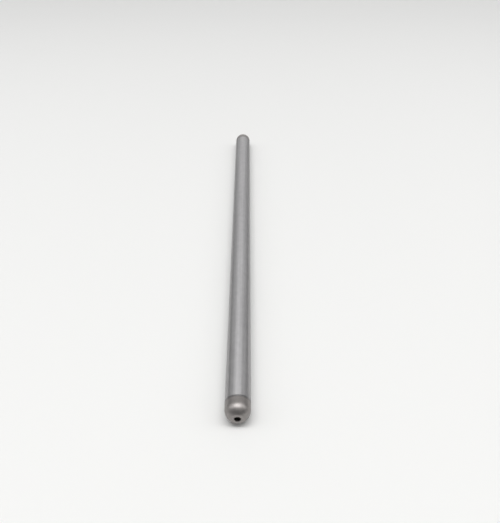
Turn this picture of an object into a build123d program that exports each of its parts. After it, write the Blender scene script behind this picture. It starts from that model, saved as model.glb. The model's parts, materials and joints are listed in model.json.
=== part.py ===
"""Engine pushrod: a ground steel tube with a hardened ball end pressed into each mouth.

The rod lies along Y. The lifter end points to -Y, the rocker end to +Y. The origin is under the
middle of the rod, on the line where it would touch a table, with +Z up. All sizes are in millimetres.
"""
from build123d import *
from math import sqrt
import os

# Rod as a whole
overall_length = 198.12        # over the flats at both tips, 7.800 in

# Tube
tube_diameter = 7.9375         # ground outside, 5/16 in
tube_wall = 2.032              # 0.080 in
tube_rim_chamfer = 0.25        # outer edge of each mouth
tube_mouth_chamfer = 0.3       # inner edge of each mouth, guides the stem in

# Ball ends
ball_diameter = 7.9375         # rides in the cup of the lifter or the rocker arm
tip_flat_diameter = 4.0        # flat ground round the oil hole
collar_length = 2.2            # straight part between the ball and the tube
shoulder_chamfer = 0.25        # outer edge of the shoulder that sits on the tube
stem_length = 9.0              # pressed into the tube
stem_lead_in_length = 1.0      # taper at the stem's free end, along the axis
stem_lead_in_share = 0.3       # the same taper across the axis, as a share of the stem's wall
relief_width = 0.6             # groove under the shoulder that lets it seat flat
relief_share = 0.2             # its depth, as a share of the stem's wall

# Oil way
oil_hole_diameter = 2.0        # right through each ball end, into the hollow of the tube
oil_mouth_chamfer = 0.15       # at the tip

# Sizes that follow from those above
tube_bore = tube_diameter - 2 * tube_wall
stem_diameter = tube_bore                  # a press fit, drawn line to line
stem_wall = (stem_diameter - oil_hole_diameter) / 2
stem_lead_in_depth = stem_lead_in_share * stem_wall
relief_depth = relief_share * stem_wall
ball_radius = ball_diameter / 2
ball_centre_to_flat = sqrt(ball_radius**2 - (tip_flat_diameter / 2) ** 2)
tube_length = overall_length - 2 * (ball_centre_to_flat + collar_length)
axis_height = max(tube_diameter, ball_diameter) / 2


def make_tube():
    """Straight tube with both rims chamfered outside and both mouths chamfered inside."""
    with BuildPart() as tube:
        with BuildSketch(Plane.XZ):
            Circle(tube_diameter / 2)
            Circle(tube_bore / 2, mode=Mode.SUBTRACT)
        extrude(amount=tube_length / 2, both=True)
        edges_by_size = tube.edges().filter_by(GeomType.CIRCLE).group_by(SortBy.RADIUS)
        mouths = edges_by_size[0]
        rims = edges_by_size[-1]
        chamfer(rims, tube_rim_chamfer)
        chamfer(mouths, tube_mouth_chamfer)
    return tube.part


def make_ball_end():
    """One turned ball end, tip towards -Y, with its shoulder in the plane Y = 0 and its stem beyond.

    Half of its section is drawn as radius and place along the axis, then turned once round Y.
    """
    centre = -collar_length
    tip = centre - ball_centre_to_flat
    stem_radius = stem_diameter / 2
    neck_radius = stem_radius - relief_depth
    hole_radius = oil_hole_diameter / 2
    arc_middle = ball_radius * sqrt(0.5)

    with BuildPart() as end:
        with BuildSketch(Plane.XY):
            with BuildLine():
                Line((hole_radius + oil_mouth_chamfer, tip), (tip_flat_diameter / 2, tip))
                ThreePointArc(
                    (tip_flat_diameter / 2, tip),
                    (arc_middle, centre - arc_middle),
                    (ball_radius, centre),
                )
                Polyline(
                    (ball_radius, centre),
                    (ball_radius, -shoulder_chamfer),
                    (ball_radius - shoulder_chamfer, 0),
                    (neck_radius, 0),
                    (neck_radius, relief_width),
                    (stem_radius, relief_width),
                    (stem_radius, stem_length - stem_lead_in_length),
                    (stem_radius - stem_lead_in_depth, stem_length),
                    (hole_radius, stem_length),
                    (hole_radius, tip + oil_mouth_chamfer),
                    (hole_radius + oil_mouth_chamfer, tip),
                )
            make_face()
        revolve(axis=Axis.Y)
    return end.part


# The two ball ends are the same piece, turned end for end
tube = Pos(0, 0, axis_height) * make_tube()
lifter_ball_end = Pos(0, -tube_length / 2, axis_height) * make_ball_end()
rocker_ball_end = Pos(0, tube_length / 2, axis_height) * Rot(0, 0, 180) * make_ball_end()

sub_parts = {
    "tube": tube,
    "lifter_ball_end": lifter_ball_end,
    "rocker_ball_end": rocker_ball_end,
}

os.makedirs("parts", exist_ok=True)
for name, solid in sub_parts.items():
    solid.label = name
    export_step(solid, f"parts/{name}.step")
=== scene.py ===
"""Looks for an engine pushrod: its ground tube, its two ball ends, and the table, light and camera.

The rod lies along Y on a pale table. Every turned piece is one surface: half of its section, carried
once round the rod's axis. Lengths are in metres.
"""
import json

import bpy
import numpy as np
from bpy.props import FloatProperty, FloatVectorProperty, IntProperty, PointerProperty
from mathutils import Matrix, Vector


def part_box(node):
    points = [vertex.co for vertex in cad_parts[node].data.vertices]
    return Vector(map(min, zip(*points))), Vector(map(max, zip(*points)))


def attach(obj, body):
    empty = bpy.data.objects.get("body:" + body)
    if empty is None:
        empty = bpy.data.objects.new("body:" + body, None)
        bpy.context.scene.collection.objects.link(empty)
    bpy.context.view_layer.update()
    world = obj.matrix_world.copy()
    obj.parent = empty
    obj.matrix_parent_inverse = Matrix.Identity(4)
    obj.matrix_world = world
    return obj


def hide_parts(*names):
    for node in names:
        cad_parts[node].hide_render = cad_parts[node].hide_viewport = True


bl_info = {
    "name": "Engine pushrod looks",
    "version": (1, 0, 0),
    "blender": (4, 5, 0),
    "location": "3D View > Sidebar > Pushrod",
    "description": "Dresses a pushrod's tube and ball ends, and sets up its table, light and camera",
    "category": "Object",
}

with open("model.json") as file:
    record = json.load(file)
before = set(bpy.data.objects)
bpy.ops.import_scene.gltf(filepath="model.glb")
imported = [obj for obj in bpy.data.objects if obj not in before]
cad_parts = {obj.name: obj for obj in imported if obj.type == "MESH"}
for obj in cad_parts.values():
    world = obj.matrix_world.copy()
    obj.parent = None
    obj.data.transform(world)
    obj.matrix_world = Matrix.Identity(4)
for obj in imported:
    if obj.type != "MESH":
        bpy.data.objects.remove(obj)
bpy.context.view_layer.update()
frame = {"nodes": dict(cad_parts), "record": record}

BODY = "root"
TUBE_NODE = "tube"
BALL_NODES = ("lifter_ball_end", "rocker_ball_end")
MILLIMETRE = 0.001


def linear(colour):
    """An sRGB hex colour as linear red, green and blue.

    Each is c / 12.92 up to c = 0.04045, and ((c + 0.055) / 1.055) ^ 2.4 above.
    """
    parts = np.array([int(colour[i:i + 2], 16) for i in (0, 2, 4)]) / 255
    return tuple(np.where(parts <= 0.04045, parts / 12.92, ((parts + 0.055) / 1.055) ** 2.4))


def mount(name):
    """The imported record's mount of that name."""
    return next(m for m in frame["record"]["mounts"] if m["name"] == name)


def axis_height():
    """Height of the rod's axis over the table."""
    return mount("guide")["pos_m"][2]


def inner_radius(node):
    """The smallest distance from the rod's axis to a node's surface."""
    mesh = frame["nodes"][node].data
    places = np.empty(len(mesh.vertices) * 3)
    mesh.vertices.foreach_get("co", places)
    x, _, z = places.reshape(-1, 3).T
    return float(np.hypot(x, z - axis_height()).min())


class RodSizes(bpy.types.PropertyGroup):
    """Sizes of the small edges and of the hidden stems. The larger sizes come from the frame."""

    bore: FloatProperty(
        name="Tube bore", description="Inside diameter of the tube, and the stems' diameter",
        default=2 * inner_radius(TUBE_NODE), unit="LENGTH", precision=5)
    rim_chamfer: FloatProperty(
        name="Tube rim chamfer", description="Outer edge of each end of the tube",
        default=0.25 * MILLIMETRE, unit="LENGTH", precision=5)
    mouth_chamfer: FloatProperty(
        name="Tube mouth chamfer", description="Inner edge of each end of the tube",
        default=0.3 * MILLIMETRE, unit="LENGTH", precision=5)
    shoulder_chamfer: FloatProperty(
        name="Shoulder chamfer", description="Outer edge of the ball end's shoulder, beside the tube",
        default=0.25 * MILLIMETRE, unit="LENGTH", precision=5)
    oil_mouth_chamfer: FloatProperty(
        name="Oil hole chamfer", description="Edge of the oil hole at the tip",
        default=0.15 * MILLIMETRE, unit="LENGTH", precision=5)
    relief_width: FloatProperty(
        name="Relief width", description="Groove under the shoulder, along the axis",
        default=0.6 * MILLIMETRE, unit="LENGTH", precision=5)
    relief_share: FloatProperty(
        name="Relief share", description="Depth of that groove, as a share of the stem's wall",
        default=0.2, min=0, max=1, subtype="FACTOR")
    lead_in_length: FloatProperty(
        name="Lead-in length", description="Taper at the stem's free end, along the axis",
        default=1.0 * MILLIMETRE, unit="LENGTH", precision=5)
    lead_in_share: FloatProperty(
        name="Lead-in share", description="Depth of that taper, as a share of the stem's wall",
        default=0.3, min=0, max=1, subtype="FACTOR")
    edge_rounding: FloatProperty(
        name="Edge rounding", description="Radius that tumbling leaves on each turned edge",
        default=0.04 * MILLIMETRE, unit="LENGTH", precision=5)
    steps_round: IntProperty(
        name="Steps round", description="Faces round the rod", default=256, min=24)


class RodFinish(bpy.types.PropertyGroup):
    """Colours and polish of the two steels, and the shade painted into the groove at each seam."""

    tube_colour: FloatVectorProperty(
        name="Ground steel", description="The tube's steel", subtype="COLOR", size=3, min=0, max=1,
        default=linear("ABAAAB"))
    tube_roughness: FloatProperty(
        name="Tube roughness", description="Mean of the roughness along and round the tube",
        default=0.45, min=0, max=1, subtype="FACTOR")
    tube_lay: FloatProperty(
        name="Grinding lay", description="How much rougher the tube is along its axis than round it",
        default=0.9, min=0, max=1, subtype="FACTOR")
    ball_colour: FloatVectorProperty(
        name="Hardened steel", description="The ball ends' steel", subtype="COLOR", size=3, min=0, max=1,
        default=linear("928E8C"))
    ball_roughness: FloatProperty(
        name="Ball roughness", description="Roughness of the tumbled ball",
        default=0.42, min=0, max=1, subtype="FACTOR")
    # Painted shade: how much of the steel's colour is left in the groove at each seam
    seam_shade: FloatProperty(
        name="Seam shade", description="What is left of the steel's colour in the groove at each seam",
        default=0.8, min=0, max=1, subtype="FACTOR")


class StudioStage(bpy.types.PropertyGroup):
    """Table, light and camera."""

    camera_place: FloatVectorProperty(
        name="Camera place", description="Where the photograph was taken from", subtype="TRANSLATION",
        unit="LENGTH", precision=4,
        default=(3.86 * MILLIMETRE, -186.75 * MILLIMETRE, 129.0 * MILLIMETRE))
    camera_dip: FloatProperty(
        name="Camera dip", description="How far below level the camera looks", subtype="ANGLE",
        default=np.radians(37.43))
    camera_roll: FloatProperty(
        name="Camera roll", description="Turn of the camera about its line of sight", subtype="ANGLE",
        default=np.radians(-0.284))
    focal_pixels: FloatProperty(
        name="Focal length in pixels", description="For a picture of 523 pixels on its longer side",
        default=500)
    table_colour: FloatVectorProperty(
        name="Table", description="Matt white paper, and the backdrop beyond it", subtype="COLOR", size=3,
        min=0, max=1, default=linear("EEEEED"))
    near_ceiling_colour: FloatVectorProperty(
        name="Near ceiling", description="Light from high up on the camera's side", subtype="COLOR", size=3,
        min=0, max=1, default=linear("8B8B8B"))
    far_ceiling_colour: FloatVectorProperty(
        name="Far ceiling", description="Light from high up beyond the rod", subtype="COLOR", size=3,
        min=0, max=1, default=linear("B4B4B4"))
    near_wall_colour: FloatVectorProperty(
        name="Near wall", description="Light from low down on the camera's side", subtype="COLOR", size=3,
        min=0, max=1, default=linear("646464"))
    far_wall_colour: FloatVectorProperty(
        name="Far wall", description="Light from low down beyond the rod", subtype="COLOR", size=3,
        min=0, max=1, default=linear("7C7C7C"))
    side_wall_colour: FloatVectorProperty(
        name="Side walls", description="Light from low down on the left and right", subtype="COLOR", size=3,
        min=0, max=1, default=linear("343434"))
    strip_strength: FloatProperty(
        name="Strip strength", description="Row of ceiling lights from left to right over the near end",
        default=1.76, min=0)
    window_strength: FloatProperty(
        name="Window strength", description="Row of windows low down beyond the rod",
        default=0.8, min=0)
    lamp_elevation: FloatProperty(
        name="Lamp elevation", description="Angle of the lamp over level, from the near end of the rod",
        subtype="ANGLE", default=np.radians(89))
    lamp_distance: FloatProperty(
        name="Lamp distance", description="From the near end of the rod", unit="LENGTH", default=0.8)
    lamp_width: FloatProperty(
        name="Lamp width", description="Left to right", unit="LENGTH", default=0.87)
    lamp_depth: FloatProperty(
        name="Lamp depth", description="Across its width", unit="LENGTH", default=0.3)
    lamp_power: FloatProperty(
        name="Lamp power", description="In watts", unit="POWER", default=3.0)


def rounded(points, radius, arc_steps=5):
    """A closed section through points (along, out), with its corners rounded.

    A point where the section turns by more than 10 degrees is a corner. The others belong to a curve and
    stay. A corner becomes the curve (1 - t)^2 start + 2 t (1 - t) corner + t^2 end, close to an arc of the
    given radius. Its start and end lie radius * tan(turn / 2) from the corner, or less where a side is too
    short. Each side also gets a point just beyond the curve, so that the shading of a flat side stays flat.
    """
    least_turn = np.radians(10)
    longest_cut = 0.3  # of the shorter side at the corner
    guard = 0.3  # of the cut, from the curve's end to the point beyond it
    points = np.array(points)
    before = np.roll(points, 1, axis=0) - points
    after = np.roll(points, -1, axis=0) - points
    to_last = before / np.linalg.norm(before, axis=1, keepdims=True)
    to_next = after / np.linalg.norm(after, axis=1, keepdims=True)
    turn = np.pi - np.arccos(np.clip((to_last * to_next).sum(1), -1, 1))
    shortest = np.minimum(np.linalg.norm(before, axis=1), np.linalg.norm(after, axis=1))
    cut = np.minimum(radius * np.tan(turn / 2), longest_cut * shortest)[:, None]
    start = points + to_last * cut
    end = points + to_next * cut
    t = np.linspace(0, 1, arc_steps)[None, :, None]
    curves = (1 - t) ** 2 * start[:, None] + 2 * t * (1 - t) * points[:, None] + t ** 2 * end[:, None]
    guard_before = (start + to_last * guard * cut)[:, None]
    guard_after = (end + to_next * guard * cut)[:, None]
    rows = np.concatenate([guard_before, curves, guard_after], axis=1)

    is_corner = turn > least_turn
    rows[~is_corner, 0] = points[~is_corner]
    kept = np.repeat(is_corner[:, None], rows.shape[1], axis=1)
    kept[:, 0] = True
    return rows[kept]


def turned(name, section, steps_round, material, node):
    """A piece turned on the lathe: a closed section (along, out), carried once round the rod's axis.

    A point of the surface is (out * sin a, along, height + out * cos a) for each angle a round the axis.
    Its UV map "lay" runs along the section in u and round the axis in v.
    """
    along, out = section.T
    rows = len(section)
    angles = np.arange(steps_round) * 2 * np.pi / steps_round
    places = np.empty((rows, steps_round, 3))
    places[..., 0] = out[:, None] * np.sin(angles)
    places[..., 1] = along[:, None]
    places[..., 2] = axis_height() + out[:, None] * np.cos(angles)

    row, step = np.meshgrid(np.arange(rows), np.arange(steps_round), indexing="ij")
    row_corners = np.stack([row, row + 1, row + 1, row], axis=-1).reshape(-1, 4)
    step_corners = np.stack([step, step, step + 1, step + 1], axis=-1).reshape(-1, 4)
    # The two ball ends' sections run opposite ways round, and all faces have to point outwards
    area = 0.5 * np.sum(along * np.roll(out, -1) - np.roll(along, -1) * out)
    if area < 0:
        row_corners = row_corners[:, ::-1]
        step_corners = step_corners[:, ::-1]
    faces = (row_corners % rows) * steps_round + step_corners % steps_round

    mesh = bpy.data.meshes.new(name)
    mesh.from_pydata(places.reshape(-1, 3), [], faces)
    mesh.shade_smooth()
    run = np.linalg.norm(np.roll(section, -1, axis=0) - section, axis=1)
    length_so_far = np.concatenate([[0], np.cumsum(run)])
    lay = mesh.uv_layers.new(name="lay")
    u = length_so_far[row_corners] / length_so_far[-1]
    v = step_corners / steps_round
    lay.data.foreach_set("uv", np.stack([u, v], axis=-1).astype(np.float32).ravel())
    mesh.materials.append(material)
    mesh.validate()

    piece = bpy.data.objects.new(name, mesh)
    bpy.context.scene.collection.objects.link(piece)
    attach(piece, BODY)
    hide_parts(node)
    return piece


def tube_section(sizes):
    """Half of the tube's section: outside wall, rims and mouths chamfered, bore."""
    low, high = (corner.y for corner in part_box(TUBE_NODE))
    outside = mount("guide")["dims"]["r_mm"] * MILLIMETRE
    bore = sizes.bore / 2
    rim = sizes.rim_chamfer
    mouth = sizes.mouth_chamfer
    return rounded([
        (low + rim, outside), (high - rim, outside), (high, outside - rim), (high, bore + mouth),
        (high - mouth, bore), (low + mouth, bore), (low, bore + mouth), (low, outside - rim)],
        sizes.edge_rounding)


def ball_section(sizes, node):
    """Half of a ball end's section: tip flat, ball, collar, shoulder, groove, stem and oil hole.

    The ball is an arc of radius R about the end's ball mount. A point of it is R sin t out from the axis
    and R cos t from the mount towards the tip, for t from the edge of the tip's flat to a right angle.
    The rest is straight.
    """
    name = node.replace("_ball_end", "")
    outwards = mount(name + "_ball")["axis"][1]
    low, high = (corner.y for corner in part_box(node))
    tube_low, tube_high = (corner.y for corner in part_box(TUBE_NODE))
    centre = mount(name + "_ball")["pos_m"][1]
    tip, stem_end = (low, high) if outwards < 0 else (high, low)
    shoulder = tube_low if outwards < 0 else tube_high

    ball = mount("guide")["dims"]["r_mm"] * MILLIMETRE
    hole = mount(name + "_oil_hole")["dims"]["r_mm"] * MILLIMETRE
    stem = sizes.bore / 2
    stem_wall = stem - hole
    neck = stem - sizes.relief_share * stem_wall
    tip_drop = abs(tip - centre)
    chamfer = sizes.shoulder_chamfer
    mouth = sizes.oil_mouth_chamfer

    def along(inwards, start=shoulder):
        return start - outwards * inwards

    arc_points = 48
    flat_angle = np.arccos(tip_drop / ball)
    turn = np.linspace(flat_angle, np.pi / 2, arc_points)
    ball_arc = np.stack([centre + outwards * ball * np.cos(turn), ball * np.sin(turn)], axis=1)
    straight = [
        (along(-chamfer), ball), (shoulder, ball - chamfer), (shoulder, neck),
        (along(sizes.relief_width), neck), (along(sizes.relief_width), stem),
        (along(-sizes.lead_in_length, stem_end), stem), (stem_end, stem - sizes.lead_in_share * stem_wall),
        (stem_end, hole), (along(mouth, tip), hole), (tip, hole + mouth)]
    return rounded(np.concatenate([ball_arc, straight]), sizes.edge_rounding)


def add_node(tree, kind, inputs=None, **settings):
    """A node in a tree, with its settings and its inputs.

    An input is a plain value, another node's output, or another node, which stands for its first output.
    """
    node = tree.nodes.new(kind)
    for name, value in settings.items():
        setattr(node, name, value)
    for key, value in (inputs or {}).items():
        if isinstance(value, bpy.types.Node):
            value = value.outputs[0]
        if isinstance(value, bpy.types.NodeSocket):
            tree.links.new(value, node.inputs[key])
        else:
            node.inputs[key].default_value = value
    return node


def opaque(colour):
    """A colour's red, green and blue, with an alpha of 1."""
    return (*colour, 1.0)


def empty_material(name):
    """A material with nothing in its tree, and that tree."""
    material = bpy.data.materials.new(name)
    material.use_nodes = True
    material.node_tree.nodes.clear()
    return material, material.node_tree


def pattern(tree, spacing_mm, detail=2.0):
    """Noise that is fixed to the piece, with a grain of spacing_mm millimetres along X, Y and Z."""
    place = add_node(tree, "ShaderNodeTexCoord").outputs["Object"]
    scale = tuple(1 / (spacing * MILLIMETRE) for spacing in spacing_mm)
    mapping = add_node(tree, "ShaderNodeMapping", {"Vector": place, "Scale": scale})
    return add_node(tree, "ShaderNodeTexNoise", {"Vector": mapping, "Scale": 1.0, "Detail": detail})


# Most values of a pattern lie between these
PATTERN_RANGE = {"From Min": 0.3, "From Max": 0.7}


def mottled(tree, colour, grain, spread):
    """A colour that a pattern makes darker and lighter, by a share of up to spread either way."""
    amount = add_node(tree, "ShaderNodeMapRange", {
        "Value": grain, **PATTERN_RANGE, "To Min": 1 - spread, "To Max": 1 + spread})
    return add_node(tree, "ShaderNodeVectorMath", {0: colour, "Scale": amount}, operation="SCALE")


def with_painted_seam_shade(tree, colour, finish):
    """A colour, darkened in the groove where the tube and a ball end meet: painted shade at each seam."""
    dark_to = 0.25 * MILLIMETRE
    unshaded_from = 0.6 * MILLIMETRE
    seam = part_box(TUBE_NODE)[1].y
    place = add_node(tree, "ShaderNodeTexCoord").outputs["Object"]
    along = add_node(tree, "ShaderNodeSeparateXYZ", {"Vector": place}).outputs["Y"]
    from_middle = add_node(tree, "ShaderNodeMath", {0: along}, operation="ABSOLUTE")
    past_seam = add_node(tree, "ShaderNodeMath", {0: from_middle, 1: seam}, operation="SUBTRACT")
    from_seam = add_node(tree, "ShaderNodeMath", {0: past_seam}, operation="ABSOLUTE")
    amount = add_node(tree, "ShaderNodeMapRange", {
        "Value": from_seam, "From Min": dark_to, "From Max": unshaded_from,
        "To Min": finish.seam_shade, "To Max": 1.0}, interpolation_type="SMOOTHSTEP")
    return add_node(tree, "ShaderNodeVectorMath", {0: colour, "Scale": amount}, operation="SCALE")


def ground_steel(finish):
    """Chrome-molybdenum steel, drawn to a tube and centreless ground: a grey satin.

    The grinding leaves fine marks that run round the tube, about 0.05 mm apart on the real one. They spread
    a highlight out along the tube and keep it narrow across. Drawing leaves faint streaks along the tube.
    """
    material, tree = empty_material("centreless_ground_steel")
    ring_spacing = 0.35  # mm, coarser than the real marks, which are finer than a pixel
    rings = pattern(tree, (8, ring_spacing, 8))
    streaks = pattern(tree, (0.45, 40, 0.45))
    clouds = pattern(tree, (1.6, 2.4, 1.6), detail=4)
    streaked = mottled(tree, tuple(finish.tube_colour), streaks, 0.08)
    clouded = mottled(tree, streaked, clouds, 0.05)
    roughness = add_node(tree, "ShaderNodeMapRange", {
        "Value": rings, **PATTERN_RANGE,
        "To Min": finish.tube_roughness - 0.02, "To Max": finish.tube_roughness + 0.02})
    bump = add_node(
        tree, "ShaderNodeBump", {"Strength": 0.25, "Distance": 0.004 * MILLIMETRE, "Height": rings})
    along = add_node(tree, "ShaderNodeTangent", direction_type="UV_MAP", uv_map="lay")
    steel = add_node(tree, "ShaderNodeBsdfPrincipled", {
        # Painted shade darkens the steel in the groove at each seam
        "Base Color": with_painted_seam_shade(tree, clouded, finish),
        "Metallic": 1.0,
        "Roughness": roughness,
        "Anisotropic": finish.tube_lay,
        "Tangent": along,
        "Normal": bump})
    add_node(tree, "ShaderNodeOutputMaterial", {"Surface": steel})
    return material


def hardened_steel(finish):
    """Case-hardened steel, turned and tumbled: darker and a little warmer than the tube.

    It is an even satin, with faint clouds from the heat treatment.
    """
    material, tree = empty_material("tumbled_hardened_steel")
    clouds = pattern(tree, (1.4, 1.4, 1.4), detail=4)
    grain = pattern(tree, (0.15, 0.15, 0.15))
    clouded = mottled(tree, tuple(finish.ball_colour), clouds, 0.05)
    roughness = add_node(tree, "ShaderNodeMapRange", {
        "Value": clouds, **PATTERN_RANGE,
        "To Min": finish.ball_roughness - 0.03, "To Max": finish.ball_roughness + 0.03})
    bump = add_node(
        tree, "ShaderNodeBump", {"Strength": 0.2, "Distance": 0.004 * MILLIMETRE, "Height": grain})
    steel = add_node(tree, "ShaderNodeBsdfPrincipled", {
        # Painted shade darkens the steel in the groove at each seam
        "Base Color": with_painted_seam_shade(tree, clouded, finish),
        "Metallic": 1.0,
        "Roughness": roughness,
        "Normal": bump})
    add_node(tree, "ShaderNodeOutputMaterial", {"Surface": steel})
    return material


class PUSHROD_OT_tube(bpy.types.Operator):
    """Turn the tube's surface and give it its ground finish"""

    bl_idname = "pushrod.tube"
    bl_label = "Tube"

    def execute(self, context):
        sizes = context.scene.pushrod_sizes
        steel = ground_steel(context.scene.pushrod_finish)
        turned("ground_tube", tube_section(sizes), sizes.steps_round, steel, TUBE_NODE)
        return {"FINISHED"}


class PUSHROD_OT_ball_ends(bpy.types.Operator):
    """Turn both ball ends and give them their hardened finish"""

    bl_idname = "pushrod.ball_ends"
    bl_label = "Ball ends"

    def execute(self, context):
        sizes = context.scene.pushrod_sizes
        steel = hardened_steel(context.scene.pushrod_finish)
        for node in BALL_NODES:
            section = ball_section(sizes, node)
            turned("turned_" + node, section, sizes.steps_round, steel, node)
        return {"FINISHED"}


class PUSHROD_OT_stage(bpy.types.Operator):
    """Lay the table and set up the room's light, the lamp and the camera"""

    bl_idname = "pushrod.stage"
    bl_label = "Table, light and camera"

    def execute(self, context):
        stage = context.scene.pushrod_stage
        lay_table(stage)
        light_room(stage)
        hang_lamp(stage)
        place_camera(stage)
        return {"FINISHED"}


def ray_kinds(tree):
    """Two outputs: 1 for a ray straight from the camera, and 1 for one that was mirrored or refracted."""
    ray = add_node(tree, "ShaderNodeLightPath").outputs
    mirrored = add_node(
        tree, "ShaderNodeMath", {0: ray["Is Glossy Ray"], 1: ray["Is Transmission Ray"]},
        operation="MAXIMUM")
    return ray["Is Camera Ray"], mirrored


def lay_table(stage):
    """A round white table at height 0, one flat face with its rim at (r cos a, r sin a, 0).

    Far from the rod the camera and mirrored rays see the backdrop instead, which softens the horizon.
    """
    radius = 3.0
    steps = 96
    # Distances from the rod's middle between which the paper turns into the backdrop
    paper_to = 0.6
    backdrop_from = 1.8
    angles = np.arange(steps) * 2 * np.pi / steps
    rim = np.stack([radius * np.cos(angles), radius * np.sin(angles), np.zeros(steps)], axis=1)
    mesh = bpy.data.meshes.new("table")
    mesh.from_pydata(rim, [], [list(range(steps))])

    material, tree = empty_material("matt_white_paper")
    colour = opaque(stage.table_colour)
    paper = add_node(tree, "ShaderNodeBsdfDiffuse", {"Color": colour, "Roughness": 1.0})
    backdrop = add_node(tree, "ShaderNodeEmission", {"Color": colour, "Strength": 1.0})
    place = add_node(tree, "ShaderNodeTexCoord").outputs["Object"]
    distance = add_node(tree, "ShaderNodeVectorMath", {0: place}, operation="LENGTH").outputs["Value"]
    far = add_node(
        tree, "ShaderNodeMapRange", {"Value": distance, "From Min": paper_to, "From Max": backdrop_from},
        interpolation_type="SMOOTHSTEP")
    from_camera, mirrored = ray_kinds(tree)
    seen = add_node(tree, "ShaderNodeMath", {0: from_camera, 1: mirrored}, operation="MAXIMUM")
    far_seen = add_node(tree, "ShaderNodeMath", {0: seen, 1: far}, operation="MULTIPLY")
    mixed = add_node(tree, "ShaderNodeMixShader", {0: far_seen, 1: paper, 2: backdrop})
    add_node(tree, "ShaderNodeOutputMaterial", {"Surface": mixed})
    mesh.materials.append(material)

    table = bpy.data.objects.new("table", mesh)
    bpy.context.scene.collection.objects.link(table)


def room_shares(tree):
    """How much each part of the room gives to the light, by the direction that the light comes from.

    The direction has a length of 1, with X to the right, Y beyond the rod and Z up.
    """
    direction = add_node(tree, "ShaderNodeTexCoord").outputs["Generated"]
    right, beyond, height = add_node(tree, "ShaderNodeSeparateXYZ", {"Vector": direction}).outputs
    off_middle = add_node(tree, "ShaderNodeMath", {0: right}, operation="ABSOLUTE")
    off_strip = add_node(tree, "ShaderNodeMath", {0: beyond}, operation="ABSOLUTE")
    # Each share goes smoothly from 0 to 1 as its part of the direction goes from one value to the other
    fades = {
        "far": (beyond, -0.3, 0.5),
        "side": (off_middle, 0.45, 0.8),
        "ceiling": (height, 0.0, 0.65),
        "strip_width": (off_strip, 0.28, 0.12),
        "strip_foot": (height, 0.15, 0.45),
        "window_wall": (beyond, 0.6, 0.85),
        "window_sill": (height, 0.03, 0.15),
        "window_head": (height, 0.6, 0.4),
        "horizon": (height, 0.12, 0.02),
    }
    return {
        name: add_node(
            tree, "ShaderNodeMapRange", {"Value": value, "From Min": none_at, "From Max": all_at},
            interpolation_type="SMOOTHSTEP")
        for name, (value, none_at, all_at) in fades.items()
    }


# Numbers of a Mix node's two colour inputs and of its colour output
FIRST_COLOUR, SECOND_COLOUR, MIXED_COLOUR = 6, 7, 2


def room_light(tree, stage, share):
    """The light of pale walls and a ceiling, with a strip of lights and a row of windows added to it.

    Its colour goes from the near wall and ceiling to the far ones, from these walls to the side walls, and
    from the walls to the ceiling. The strip runs from left to right over the near end, and the windows are
    low down beyond the rod.
    """
    painted = ("near_wall", "far_wall", "side_wall", "near_ceiling", "far_ceiling")
    colours = {name: opaque(getattr(stage, name + "_colour")) for name in painted}
    # Each row gives the mix's name, its share, and the colours that it has at a share of 0 and of 1
    mixes = (
        ("middle_walls", "far", "near_wall", "far_wall"),
        ("walls", "side", "middle_walls", "side_wall"),
        ("whole_ceiling", "far", "near_ceiling", "far_ceiling"),
        ("sky", "ceiling", "walls", "whole_ceiling"),
    )
    for name, part, first, second in mixes:
        inputs = {0: share[part], FIRST_COLOUR: colours[first], SECOND_COLOUR: colours[second]}
        mix = add_node(tree, "ShaderNodeMix", inputs, data_type="RGBA")
        colours[name] = mix.outputs[MIXED_COLOUR]

    strip = add_node(
        tree, "ShaderNodeMath", {0: share["strip_width"], 1: share["strip_foot"]}, operation="MULTIPLY")
    window_row = add_node(
        tree, "ShaderNodeMath", {0: share["window_sill"], 1: share["window_head"]}, operation="MULTIPLY")
    windows = add_node(
        tree, "ShaderNodeMath", {0: window_row, 1: share["window_wall"]}, operation="MULTIPLY")
    light = colours["sky"]
    for strength, shape in ((stage.strip_strength, strip), (stage.window_strength, windows)):
        added = add_node(
            tree, "ShaderNodeVectorMath", {0: (strength,) * 3, "Scale": shape}, operation="SCALE")
        light = add_node(tree, "ShaderNodeVectorMath", {0: light, 1: added}, operation="ADD")
    return light


def light_room(stage):
    """Pale light from all round.

    The camera sees a backdrop in the table's colour instead, and so does the steel near the horizon. Higher
    up the steel mirrors the darker room.
    """
    world = bpy.data.worlds.new("soft_room")
    world.use_nodes = True
    tree = world.node_tree
    tree.nodes.clear()
    share = room_shares(tree)
    light = room_light(tree, stage, share)
    room = add_node(tree, "ShaderNodeBackground", {"Color": light, "Strength": 1.0})
    backdrop = add_node(
        tree, "ShaderNodeBackground", {"Color": opaque(stage.table_colour), "Strength": 1.0})
    from_camera, mirrored = ray_kinds(tree)
    mirrored_low = add_node(
        tree, "ShaderNodeMath", {0: mirrored, 1: share["horizon"]}, operation="MULTIPLY")
    seen = add_node(tree, "ShaderNodeMath", {0: from_camera, 1: mirrored_low}, operation="MAXIMUM")
    mixed = add_node(tree, "ShaderNodeMixShader", {0: seen, 1: room, 2: backdrop})
    add_node(tree, "ShaderNodeOutputWorld", {"Surface": mixed}, is_active_output=True)
    bpy.context.scene.world = world


def hang_lamp(stage):
    """A wide lamp almost straight above the rod's near end, facing it."""
    near_end = Vector((0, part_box(BALL_NODES[0])[0].y, axis_height()))
    to_lamp = Vector((0, -np.cos(stage.lamp_elevation), np.sin(stage.lamp_elevation)))
    lamp = bpy.data.lights.new("wide_lamp", "AREA")
    lamp.shape = "RECTANGLE"
    lamp.size = stage.lamp_width
    lamp.size_y = stage.lamp_depth
    lamp.energy = stage.lamp_power
    holder = bpy.data.objects.new("wide_lamp", lamp)
    facing = to_lamp.to_track_quat("Z", "Y").to_matrix().to_4x4()
    holder.matrix_world = Matrix.Translation(near_end + to_lamp * stage.lamp_distance) @ facing
    bpy.context.scene.collection.objects.link(holder)


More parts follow.
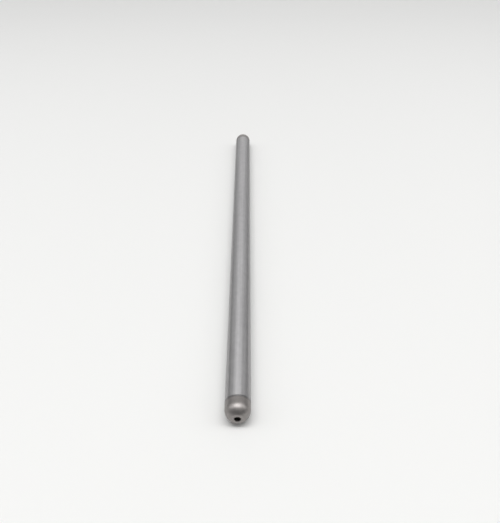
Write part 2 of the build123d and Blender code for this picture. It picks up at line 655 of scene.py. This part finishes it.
def place_camera(stage):
    """The photograph's camera, with its sensor's width along the picture's longer side."""
    longer_side = 523  # pixels
    camera = bpy.data.cameras.new("camera")
    camera.sensor_width = 36
    camera.lens = camera.sensor_width * stage.focal_pixels / longer_side
    camera.clip_start = 0.01
    camera.clip_end = 20
    holder = bpy.data.objects.new("camera", camera)
    level = np.radians(90)
    holder.matrix_world = (
        Matrix.Translation(stage.camera_place)
        @ Matrix.Rotation(level - stage.camera_dip, 4, "X")
        @ Matrix.Rotation(stage.camera_roll, 4, "Z"))
    bpy.context.scene.collection.objects.link(holder)
    bpy.context.scene.camera = holder


class PUSHROD_PT_panel(bpy.types.Panel):
    """The pushrod's pieces and their settings"""

    bl_idname = "PUSHROD_PT_panel"
    bl_label = "Pushrod"
    bl_space_type = "VIEW_3D"
    bl_region_type = "UI"
    bl_category = "Pushrod"

    def draw(self, context):
        scene = context.scene
        for group in (scene.pushrod_sizes, scene.pushrod_finish, scene.pushrod_stage):
            box = self.layout.box()
            for name in group.bl_rna.properties.keys():
                if name not in ("rna_type", "name"):
                    box.prop(group, name)
        for operator in OPERATORS:
            self.layout.operator(operator.bl_idname)


OPERATORS = (PUSHROD_OT_tube, PUSHROD_OT_ball_ends, PUSHROD_OT_stage)
CLASSES = (RodSizes, RodFinish, StudioStage, *OPERATORS, PUSHROD_PT_panel)


def register():
    for item in CLASSES:
        bpy.utils.register_class(item)
    bpy.types.Scene.pushrod_sizes = PointerProperty(type=RodSizes)
    bpy.types.Scene.pushrod_finish = PointerProperty(type=RodFinish)
    bpy.types.Scene.pushrod_stage = PointerProperty(type=StudioStage)


def unregister():
    del bpy.types.Scene.pushrod_stage
    del bpy.types.Scene.pushrod_finish
    del bpy.types.Scene.pushrod_sizes
    for item in reversed(CLASSES):
        bpy.utils.unregister_class(item)


def main():
    """Makes the pieces and the stage."""
    register()
    bpy.context.scene.view_settings.view_transform = "Standard"
    bpy.ops.pushrod.tube()
    bpy.ops.pushrod.ball_ends()
    bpy.ops.pushrod.stage()


if __name__ == "__main__":
    main()
